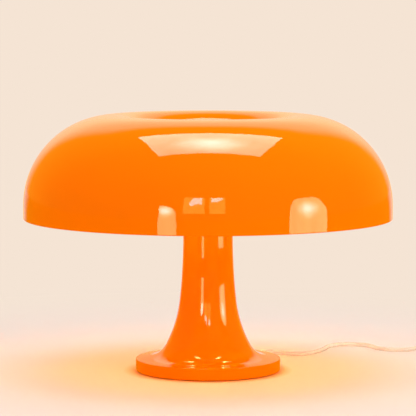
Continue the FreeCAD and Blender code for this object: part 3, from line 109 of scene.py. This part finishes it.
TIE_GAP = 0.0004
TIE_BEND = 0.0022
TIE_BEND_STEPS = 6
TIE_WIDTH, TIE_THICKNESS = 0.0032, 0.0006
TIE_EDGE = 0.00015
TWIST_WIDTH, TWIST_THICKNESS = 0.0020, 0.0009
TWIST_INSET = 0.001
TWIST_LENGTH, TWIST_SWAY = 0.015, 0.004
TWIST_TURNS = 3
TWIST_STEPS = 48


def coil_points():
    """Layers that spiral in and out by turns, with a climb of half a turn between them."""
    stretch = 1 / math.cos(math.pi / COIL_STEPS) ** CORNER_SHARE
    points = []
    for step in range(COIL_TURNS * COIL_STEPS + 1):
        turns = step / COIL_STEPS
        layer = min(int(turns // (LAYER_TURNS + CLIMB_TURNS)), COIL_LAYERS - 1)
        along = turns - layer * (LAYER_TURNS + CLIMB_TURNS)
        inward = layer % 2 == 0
        if along <= LAYER_TURNS:
            radius = (COIL_OUTER - COIL_PITCH * along if inward
                      else COIL_INNER + COIL_PITCH * along)
            level = layer
        else:
            part = (along - LAYER_TURNS) / CLIMB_TURNS
            over = COIL_PITCH * part * (1 - part) / 2
            radius = COIL_INNER - over if inward else COIL_OUTER + over
            level = layer + part
        angle = math.pi + 2 * math.pi * turns
        points.append((COIL_CENTRE[0] + radius * stretch * math.cos(angle),
                       COIL_CENTRE[1] + radius * stretch * math.sin(angle),
                       CORD_RADIUS + COIL_PITCH * level))
    return points


def ribbon(path, sides, width, thickness, closed):
    """Corners and faces of a flat strip along a path, with the way its width lies at each."""
    corners, faces = [], []
    count = len(path)
    for index, (place, side) in enumerate(zip(path, sides)):
        after = path[(index + 1) % count if closed else min(index + 1, count - 1)]
        before = path[index - 1 if closed else max(index - 1, 0)]
        across = side.normalized() * (width / 2)
        out = (after - before).cross(side).normalized() * (thickness / 2)
        corners += [place + across + out, place - across + out, place - across - out,
                    place + across - out]
    for index in range(count if closed else count - 1):
        start, end = 4 * index, 4 * ((index + 1) % count)
        for turn in range(4):
            other = (turn + 1) % 4
            faces.append((start + turn, start + other, end + other, end + turn))
    if not closed:
        faces += [(3, 2, 1, 0), tuple(range(len(corners) - 4, len(corners)))]
    return corners, faces


def make_tie():
    """A flat tie round the coil's turns, with its two ends twisted together on top."""
    stand_off = CORD_RADIUS + TIE_GAP
    near, far = COIL_INNER - stand_off + TIE_BEND, COIL_OUTER + stand_off - TIE_BEND
    low = TIE_GAP + TIE_BEND
    high = COIL_PITCH * (COIL_LAYERS - 1) + 2 * CORD_RADIUS + TIE_GAP - TIE_BEND
    loop = []
    for corner, (out, up) in enumerate(((far, high), (near, high), (near, low), (far, low))):
        for step in range(TIE_BEND_STEPS + 1):
            turn = math.radians(90 * corner + 90 * step / TIE_BEND_STEPS)
            loop.append(Vector((COIL_CENTRE[0],
                                COIL_CENTRE[1] - out - TIE_BEND * math.cos(turn),
                                up + TIE_BEND * math.sin(turn))))
    along = Vector((1.0, 0.0, 0.0))
    corners, faces = ribbon(loop, [along] * len(loop), TIE_WIDTH, TIE_THICKNESS, True)

    start = Vector((COIL_CENTRE[0], COIL_CENTRE[1] - far + TWIST_INSET,
                    high + TIE_BEND + TIE_THICKNESS))
    twist, sides = [], []
    for step in range(TWIST_STEPS + 1):
        part = step / TWIST_STEPS
        twist.append(start + Vector((TWIST_LENGTH * part, TWIST_SWAY * part * part, 0.0)))
        turn = 2 * math.pi * TWIST_TURNS * part
        sides.append(Vector((0.0, math.cos(turn), math.sin(turn))))
    more_corners, more_faces = ribbon(twist, sides, TWIST_WIDTH, TWIST_THICKNESS, False)
    faces += [tuple(len(corners) + index for index in face) for face in more_faces]

    mesh = bpy.data.meshes.new("coil_tie")
    mesh.from_pydata(corners + more_corners, [], faces)
    mesh.validate()
    piece = add("coil_tie", mesh)
    rounding = piece.modifiers.new("rounding", "BEVEL")
    rounding.width = TIE_EDGE
    rounding.segments = 2
    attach(piece, "root")
    return piece


def cord(name, points):
    """A round cord along one smooth spline."""
    curve = bpy.data.curves.new(name, "CURVE")
    curve.dimensions = "3D"
    spline = curve.splines.new("NURBS")
    spline.points.add(len(points) - 1)
    for point, place in zip(spline.points, points):
        point.co = (*place, 1.0)
        point.radius = CORD_RADIUS
    spline.order_u = 3
    spline.use_endpoint_u = True
    spline.resolution_u = 8
    spline.use_smooth = True
    curve.bevel_depth = 1.0
    curve.bevel_resolution = 6
    curve.use_fill_caps = True
    piece = add(name, curve)
    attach(piece, "root")
    return piece


cord_to_switch = cord("cord_to_switch", CORD_ROUTE)
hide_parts("cord_run")

cord_to_plug = cord("cord_to_plug", LEAD_ROUTE + coil_points() + END_ROUTE)
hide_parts("cord_lead", "cord_coil", "cord_end")
coil_tie = make_tie()

# ---------------------------------------------------------------------------------------------
# Shader nodes
# ---------------------------------------------------------------------------------------------

# Nearly all of a noise texture's values lie between these.
NOISE_RANGE = (0.3, 0.7)
RELIEF_DEPTH = 0.0002


def linear(red, green, blue):
    """A colour written as 0 to 255 screen values, as the linear values that shaders take."""
    values = []
    for value in (red, green, blue):
        value /= 255
        values.append(value / 12.92 if value <= 0.04045 else ((value + 0.055) / 1.055) ** 2.4)
    return (*values, 1.0)


def feed(tree, socket, value):
    """Links a node's output to the socket, or else writes a plain value on it."""
    if isinstance(value, bpy.types.NodeSocket):
        tree.links.new(value, socket)
    else:
        socket.default_value = value


def shader_node(tree, kind, inputs, **settings):
    """A new node with its settings, and with its inputs linked or written."""
    made = tree.nodes.new("ShaderNode" + kind)
    for name, value in settings.items():
        setattr(made, name, value)
    for name, value in inputs.items():
        feed(tree, made.inputs[name], value)
    return made


def calculated(tree, operation, first, second=0.0):
    """One step of arithmetic on two values."""
    return shader_node(tree, "Math", {0: first, 1: second}, operation=operation).outputs[0]


def coordinates(tree, system="Object"):
    return tree.nodes.new("ShaderNodeTexCoord").outputs[system]


def ray(tree, kind):
    """1 for rays of this kind and 0 for others."""
    return tree.nodes.new("ShaderNodeLightPath").outputs[f"Is {kind} Ray"]


def length_of(tree, vector):
    return shader_node(tree, "VectorMath", {0: vector}, operation="LENGTH").outputs["Value"]


def axis_of(tree, vector, axis):
    return shader_node(tree, "SeparateXYZ", {0: vector}).outputs[axis]


def unit(tree, vector):
    return shader_node(tree, "VectorMath", {0: vector}, operation="NORMALIZE").outputs[0]


def ranged(tree, value, start, end, low, high, shape="LINEAR"):
    """Runs from low, where the value is start, to high, where it is end."""
    return shader_node(tree, "MapRange", {"Value": value, "From Min": start, "From Max": end,
                                          "To Min": low, "To Max": high},
                       interpolation_type=shape).outputs["Result"]


def smooth(tree, value, start, end, low=0.0, high=1.0):
    """The same as ranged, with soft ends."""
    return ranged(tree, value, start, end, low, high, shape="SMOOTHSTEP")


def noise(tree, place, scale, detail=2.0):
    return shader_node(tree, "TexNoise", {"Vector": place, "Scale": scale,
                                          "Detail": detail}).outputs["Fac"]


def ramp(tree, value, steps):
    """A colour that follows a value, from steps that each hold a position and a colour."""
    made = shader_node(tree, "ValToRGB", {"Fac": value})
    elements = made.color_ramp.elements
    while len(elements) < len(steps):
        elements.new(0.5)
    for element, (position, colour) in zip(elements, steps):
        element.position = position
        element.color = colour
    return made.outputs["Color"]


def mixed(tree, factor, first, second):
    """The first shader where the factor is 0, and the second where it is 1."""
    return shader_node(tree, "MixShader", {0: factor, 1: first, 2: second}).outputs[0]


def light(tree, kind, colour, strength=1.0):
    """An Emission or a Background shader."""
    return shader_node(tree, kind, {"Color": colour, "Strength": strength}).outputs[0]


def new_material(name):
    made = bpy.data.materials.new(name)
    made.use_nodes = True
    return made


def show(tree, shader, output="Material Output"):
    feed(tree, tree.nodes[output].inputs["Surface"], shader)


# ---------------------------------------------------------------------------------------------
# Materials
# ---------------------------------------------------------------------------------------------


def surface(name, tint, spread=0.04, scale=30.0, rough=(0.25, 0.35), rough_scale=60.0,
            bump=0.0, bump_scale=300.0, **sockets):
    """A material whose colour, roughness and fine relief each follow a noise of its own."""
    made = new_material(name)
    tree = made.node_tree
    shader = tree.nodes["Principled BSDF"]
    place = coordinates(tree)

    darker = (*[max(part * (1 - spread), 0.0) for part in tint[:3]], 1.0)
    lighter = (*[min(part * (1 + spread), 1.0) for part in tint[:3]], 1.0)
    feed(tree, shader.inputs["Base Color"],
         ramp(tree, noise(tree, place, scale, 4.0), list(zip(NOISE_RANGE, (darker, lighter)))))
    feed(tree, shader.inputs["Roughness"],
         ranged(tree, noise(tree, place, rough_scale, 3.0), *NOISE_RANGE, *rough))
    if bump:
        relief = shader_node(tree, "Bump", {"Strength": bump, "Distance": RELIEF_DEPTH,
                                            "Height": noise(tree, place, bump_scale, 3.0)})
        feed(tree, shader.inputs["Normal"], relief.outputs["Normal"])
    for socket, value in sockets.items():
        feed(tree, shader.inputs[socket.replace("_", " ")], value)
    return made


ORANGE = linear(255, 120, 0)
GLOSS = {"Coat_Weight": 1.0, "Coat_Roughness": 0.02, "Coat_IOR": 1.42,
         "Specular_IOR_Level": 0.0}

LOOKS = {
    "orange_plastic": dict(tint=ORANGE, spread=0.015, scale=12.0, rough=(0.10, 0.16),
                           bump=0.02, bump_scale=120.0, **GLOSS),
    "orange_knob": dict(tint=ORANGE, spread=0.02, scale=40.0, rough=(0.12, 0.20), bump=0.03,
                        **GLOSS),
    "white_plastic": dict(tint=linear(238, 236, 228), spread=0.02, rough=(0.28, 0.38),
                          bump=0.05, bump_scale=900.0),
    "switch_plastic": dict(tint=linear(240, 237, 228), spread=0.02, rough=(0.22, 0.34),
                           bump=0.06, bump_scale=1400.0),
    "plug_plastic": dict(tint=linear(240, 236, 226), spread=0.02, rough=(0.24, 0.36),
                         bump=0.06, bump_scale=1400.0),
    "ceramic": dict(tint=linear(243, 238, 224), spread=0.03, scale=80.0, rough=(0.15, 0.30),
                    bump=0.10, bump_scale=700.0, Coat_Weight=0.5),
    "frosted_glass": dict(tint=linear(255, 240, 214), spread=0.02, scale=120.0,
                          rough=(0.45, 0.60), bump=0.05, bump_scale=2500.0,
                          Emission_Color=linear(255, 239, 136)),
    "steel": dict(tint=linear(196, 196, 198), spread=0.08, scale=200.0, rough=(0.28, 0.42),
                  bump=0.10, bump_scale=900.0, Metallic=1.0),
    "brass": dict(tint=linear(206, 168, 92), spread=0.08, scale=180.0, rough=(0.25, 0.40),
                  bump=0.10, bump_scale=900.0, Metallic=1.0),
    "pin_metal": dict(tint=linear(204, 202, 196), spread=0.06, scale=220.0,
                      rough=(0.18, 0.32), bump=0.08, bump_scale=1200.0, Metallic=1.0),
    "cast_iron": dict(tint=linear(60, 60, 62), spread=0.20, scale=160.0, rough=(0.55, 0.75),
                      bump=0.60, bump_scale=500.0),
    "cover_steel": dict(tint=linear(42, 42, 44), spread=0.10, scale=60.0, rough=(0.35, 0.50),
                        bump=0.15, bump_scale=800.0),
    "pad_rubber": dict(tint=linear(140, 92, 60), spread=0.15, scale=300.0, rough=(0.75, 0.90),
                       bump=0.60, bump_scale=1500.0),
    "seat_rubber": dict(tint=linear(222, 218, 208), spread=0.05, scale=120.0,
                        rough=(0.55, 0.70), bump=0.20, bump_scale=900.0),
    "cord_grip": dict(tint=linear(232, 222, 206), spread=0.03, scale=120.0,
                      rough=(0.30, 0.45), bump=0.10, bump_scale=1400.0,
                      Transmission_Weight=0.25),
    "clear_cord": dict(tint=linear(244, 224, 200), spread=0.03, scale=90.0,
                       rough=(0.20, 0.32), bump=0.05, bump_scale=600.0,
                       Subsurface_Weight=0.7, Subsurface_Radius=(1.0, 0.85, 0.7),
                       Subsurface_Scale=0.004, Specular_IOR_Level=0.3, Alpha=0.4),
    "tie_paper": dict(tint=linear(226, 223, 214), spread=0.04, scale=400.0,
                      rough=(0.45, 0.60), bump=0.20, bump_scale=2600.0),
    "wire": dict(tint=linear(228, 228, 222), spread=0.05, scale=200.0, rough=(0.40, 0.55),
                 bump=0.05),
}
MATERIALS = {name: surface(name, **look) for name, look in LOOKS.items()}

# The bulbs point outwards, and their light sources lie at this distance from the lamp's axis.
SOURCE_RADIUS = 0.0555
SOURCE_REACH = 0.016
SOURCE_STRENGTH = 37.0
TUBE_STRENGTH = 4.5


def light_bulbs(made):
    """Light that is strongest where the source sits in each bulb, near its base."""
    tree = made.node_tree
    flat = shader_node(tree, "VectorMath", {0: coordinates(tree), 1: (1.0, 1.0, 0.0)},
                       operation="MULTIPLY").outputs[0]
    away = calculated(tree, "SUBTRACT", length_of(tree, flat), SOURCE_RADIUS)
    feed(tree, tree.nodes["Principled BSDF"].inputs["Emission Strength"],
         smooth(tree, calculated(tree, "ABSOLUTE", away), 0.0, SOURCE_REACH,
                SOURCE_STRENGTH, TUBE_STRENGTH))


light_bulbs(MATERIALS["frosted_glass"])

for entry in frame["record"]["subparts"]:
    node = nodes[entry["node"]]
    node.data.materials.clear()
    node.data.materials.append(MATERIALS[entry["material_slot"]])
for piece in (cord_to_switch, cord_to_plug):
    piece.data.materials.append(MATERIALS["clear_cord"])
coil_tie.data.materials.append(MATERIALS["tie_paper"])

# ---------------------------------------------------------------------------------------------
# Floor and world
# ---------------------------------------------------------------------------------------------

BACKDROP = linear(245, 228, 212)

# The floor's tints paint a warm glow round the lamp into its colour, and a warm bounce into the
# shade at the foot's edge. Tints and the fade go by distance from the lamp's axis, in metres.
# The front starts and is full at these values of the direction's part to the back.
FLOOR_SIZE = 9.0
FLOOR_TINTS_WITH_PAINTED_GLOW = [(0.061, (255, 190, 90)), (0.066, (255, 205, 128)), (0.074, (236, 230, 192)),
               (0.12, (231, 226, 195)), (0.16, (225, 219, 205)), (0.20, (220, 216, 210)),
               (0.26, (216, 210, 208)), (0.34, (213, 209, 211))]
FLOOR_ROUGHNESS, FLOOR_GLOSS = 0.6, 0.1
FLOOR_FADE = (0.20, 0.55)
FLOOR_FRONT = (0.93, 0.82)
FLOOR_MIRRORED = (linear(255, 175, 20), 0.8)

# Each is a colour with its strength. The wall's strength rises from 0.9 at the horizon to 1.6
# where a direction's part upwards is 0.3.
AMBIENT = (linear(255, 240, 232), 1.0)
WARM_SIDES = (linear(255, 188, 46), 1.0)
DIM_ROOM = (linear(255, 205, 80), 0.4)
WALL_TINT = linear(255, 226, 184)
WALL_LIFT = (0.0, 0.3, 0.9, 1.6)

# Where each starts and is full: the top by a direction's part upwards, and the others by its
# part to the back.
WALL_SIDES = (0.86, 0.96)
WALL_TOP = (0.72, 0.60)
WARM_FROM = (0.10, 0.75)


def make_floor():
    """A pale floor with a warm glow painted into its colour round the lamp, warmest at the
    foot's edge, that also keeps the lamp's real glow and shadow, and fades into the backdrop.

    All of it but a wedge behind the lamp looks warm in the lamp's gloss.
    """
    mesh = bpy.data.meshes.new("floor")
    corners = [(-FLOOR_SIZE, -FLOOR_SIZE, 0.0), (FLOOR_SIZE, -FLOOR_SIZE, 0.0),
               (FLOOR_SIZE, FLOOR_SIZE, 0.0), (-FLOOR_SIZE, FLOOR_SIZE, 0.0)]
    mesh.from_pydata(corners, [], [(0, 1, 2, 3)])
    floor = add("floor", mesh)
    made = new_material("floor")
    tree = made.node_tree
    place = coordinates(tree)
    distance = length_of(tree, place)

    shader = tree.nodes["Principled BSDF"]
    feed(tree, shader.inputs["Roughness"], FLOOR_ROUGHNESS)
    feed(tree, shader.inputs["Specular IOR Level"], FLOOR_GLOSS)
    # Painted glow: the base colour gets warmer towards the lamp's axis, warmest at the foot's
    # edge.
    feed(tree, shader.inputs["Base Color"],
         ramp(tree, distance, [(radius, linear(*tint)) for radius, tint in FLOOR_TINTS_WITH_PAINTED_GLOW]))

    directly = calculated(tree, "MAXIMUM", ray(tree, "Camera"), ray(tree, "Glossy"))
    directly = calculated(tree, "MAXIMUM", directly, ray(tree, "Transmission"))
    fade = calculated(tree, "MULTIPLY", smooth(tree, distance, *FLOOR_FADE), directly)
    faded = mixed(tree, fade, shader.outputs["BSDF"], light(tree, "Emission", BACKDROP))

    front = smooth(tree, axis_of(tree, unit(tree, place), "Y"), *FLOOR_FRONT)
    show(tree, mixed(tree, calculated(tree, "MULTIPLY", front, ray(tree, "Glossy")), faded,
                     light(tree, "Emission", *FLOOR_MIRRORED)))
    mesh.materials.append(made)


def make_world():
    """Soft light from all round; mirrors see a pale wall behind and a dim room elsewhere."""
    world = bpy.data.worlds.new("studio")
    bpy.context.scene.world = world
    world.use_nodes = True
    tree = world.node_tree
    tree.nodes.remove(tree.nodes["Background"])

    heading = coordinates(tree, "Generated")
    height = axis_of(tree, heading, "Z")
    flat = shader_node(tree, "CombineXYZ", {"X": axis_of(tree, heading, "X"),
                                            "Y": axis_of(tree, heading, "Y")}).outputs[0]
    depth = axis_of(tree, unit(tree, flat), "Y")
    wall = calculated(tree, "MULTIPLY", smooth(tree, depth, *WALL_SIDES),
                      smooth(tree, height, *WALL_TOP))
    bright = light(tree, "Background", WALL_TINT, ranged(tree, height, *WALL_LIFT))

    sides = mixed(tree, smooth(tree, depth, *WARM_FROM), light(tree, "Background", *DIM_ROOM),
                  light(tree, "Background", *WARM_SIDES))
    room = mixed(tree, wall, sides, bright)
    lit = mixed(tree, ray(tree, "Glossy"), light(tree, "Background", *AMBIENT), room)
    seen = calculated(tree, "MAXIMUM", ray(tree, "Camera"), ray(tree, "Transmission"))
    show(tree, mixed(tree, seen, lit, light(tree, "Background", BACKDROP)), "World Output")


make_floor()
make_world()

# ---------------------------------------------------------------------------------------------
# Lit panels
# ---------------------------------------------------------------------------------------------

HOT_TINT = (255, 249, 238)
STREAK_SCALE = (9.0, 9.0, 0.4)
STREAK_SWING = (0.88, 1.12)


def glow(name, mesh, tint, base, hot=0.0, spot=(0.0, 0.0, 0.0), reach=0.001):
    """Light that is whitest and strongest at a hot spot, and varies in soft upright streaks."""
    made = new_material(name)
    tree = made.node_tree
    tree.nodes.remove(tree.nodes["Principled BSDF"])
    place = coordinates(tree)
    away = shader_node(tree, "VectorMath", {0: place, 1: spot}, operation="DISTANCE")
    near = smooth(tree, away.outputs["Value"], reach, 0.0)
    squeezed = shader_node(tree, "Mapping", {"Vector": place, "Scale": STREAK_SCALE})
    streaks = ranged(tree, noise(tree, squeezed.outputs["Vector"], 1.0), *NOISE_RANGE,
                     *STREAK_SWING)
    level = ranged(tree, near, 0.0, 1.0, base, base + hot)
    colour = ramp(tree, near, [(0.0, linear(*tint)), (1.0, linear(*HOT_TINT))])
    show(tree, light(tree, "Emission", colour, calculated(tree, "MULTIPLY", level, streaks)))
    mesh.materials.append(made)


def panel(name, corners, mirrored=True, **look):
    """A flat lit panel that only shows in the lamp's gloss, or else only lights it softly."""
    mesh = bpy.data.meshes.new(name)
    mesh.from_pydata(corners, [], [tuple(range(len(corners)))])
    piece = add(name, mesh)
    piece.visible_camera = False
    piece.visible_shadow = False
    piece.visible_glossy = mirrored
    piece.visible_diffuse = not mirrored
    glow(name, mesh, **look)


def seen_from(spot, distance, bearings):
    """Places at a distance from a spot on the lamp, each as an azimuth and an elevation.

    Azimuth 0 is in front, towards the camera, and 90 is to the right.
    """
    places = []
    for azimuth, elevation in bearings:
        turn, rise = math.radians(azimuth), math.radians(elevation)
        places.append((spot[0] + distance * math.sin(turn) * math.cos(rise),
                       spot[1] - distance * math.cos(turn) * math.cos(rise),
                       spot[2] + distance * math.sin(rise)))
    return places


def rectangle(left, right, low, high):
    """The four corners of a rectangle, as pairs."""
    return [(left, low), (right, low), (right, high), (left, high)]


# A spot on the lamp that each panel shows at, and how far the panel is from it.
LEFT = ((-0.033, -0.156, 0.145), 1.20)
RIGHT = ((0.081, -0.138, 0.145), 1.22)
PANES = ((-0.004, -0.158, 0.158), 2.6)
BRIGHT_PANES = (PANES[0], 2.55)
BOARDS = ((0.0, 0.0, 0.09), 0.13)

OVERHEAD_HEIGHT = 1.30
OVERHEAD = [(x, y, OVERHEAD_HEIGHT) for x, y in rectangle(-0.45, 0.49, -0.265, 0.515)]
BEHIND_DEPTH = 0.50
BEHIND = [(x, BEHIND_DEPTH, z) for x, z in rectangle(-0.30, 0.30, 0.03, 0.17)]
SOFT_WHITE = {"tint": (255, 250, 242), "base": 3.2}
BRIGHT_PANE = {"tint": (255, 226, 222), "base": 17.0}

panel("soft_above", OVERHEAD, mirrored=False, **SOFT_WHITE)
panel("soft_left", seen_from(*LEFT, rectangle(-45.0, -15.0, 0.0, 25.0)), mirrored=False,
      tint=(255, 212, 190), base=1.6)
panel("soft_right", seen_from(*RIGHT, rectangle(40.0, 80.0, 0.0, 30.0)), mirrored=False,
      **SOFT_WHITE)
panel("panel_overhead", OVERHEAD, tint=(255, 246, 218), base=8.1, hot=10.5,
      spot=(0.02, 0.04, OVERHEAD_HEIGHT), reach=0.34)
panel("panel_left", seen_from(*LEFT, [
    (-31.0, -6.7), (-18.6, -6.7), (-18.6, 6.0), (-21.0, 11.0), (-26.0, 13.5), (-31.0, 13.7)]),
      tint=(255, 244, 168), base=8.5, hot=16.0,
      spot=seen_from(*LEFT, [(-26.2, 7.5)])[0], reach=0.17)
panel("panel_right", seen_from(*RIGHT, [
    (49.6, -6.7), (78.2, -6.7), (78.2, 4.5), (73.6, 14.0), (70.5, 17.6), (62.0, 18.0),
    (55.5, 17.6), (53.2, 14.0), (49.6, 4.5)]),
      tint=(255, 243, 173), base=9.0, hot=17.0,
      spot=seen_from(*RIGHT, [(63.6, 6.4)])[0], reach=0.22)
# Dark boards, seen only in the lamp's gloss, that paint dark gaps into the panels' reflections
# on the stem.
for name, left, right, low, high in (("board_left", -40.0, -5.0, 0.0855, 0.0965),
                                     ("board_right", 40.0, 95.0, 0.079, 0.102)):
    ends = seen_from(*BOARDS, [(left, 0.0), (right, 0.0)])
    panel(name, [(*end[:2], z) for end, z in zip([*ends, *ends[::-1]], (low, low, high, high))],
          tint=(120, 60, 10), base=0.1)
panel("board_behind", BEHIND, tint=(255, 206, 140), base=1.15)
for name, left, right in (("pane_left", -15.6, -1.6), ("pane_right", 1.4, 10.4)):
    panel(name, seen_from(*PANES, rectangle(left, right, 4.2, 24.0)),
          tint=(255, 228, 100), base=4.8)
panel("pane_bright_left", seen_from(*BRIGHT_PANES, [
    (-12.4, 17.5), (-11.5, 12.8), (-7.4, 13.8), (-6.8, 16.2), (-3.6, 15.2), (-3.4, 23.6),
    (-9.6, 23.6)]), **BRIGHT_PANE)
panel("pane_bright_right", seen_from(*BRIGHT_PANES, [
    (2.6, 18.6), (6.0, 18.6), (8.2, 21.0), (9.2, 23.6), (2.6, 23.6)]), **BRIGHT_PANE)

bpy.context.scene.view_settings.view_transform = "Standard"

bpy.context.view_layer.update()
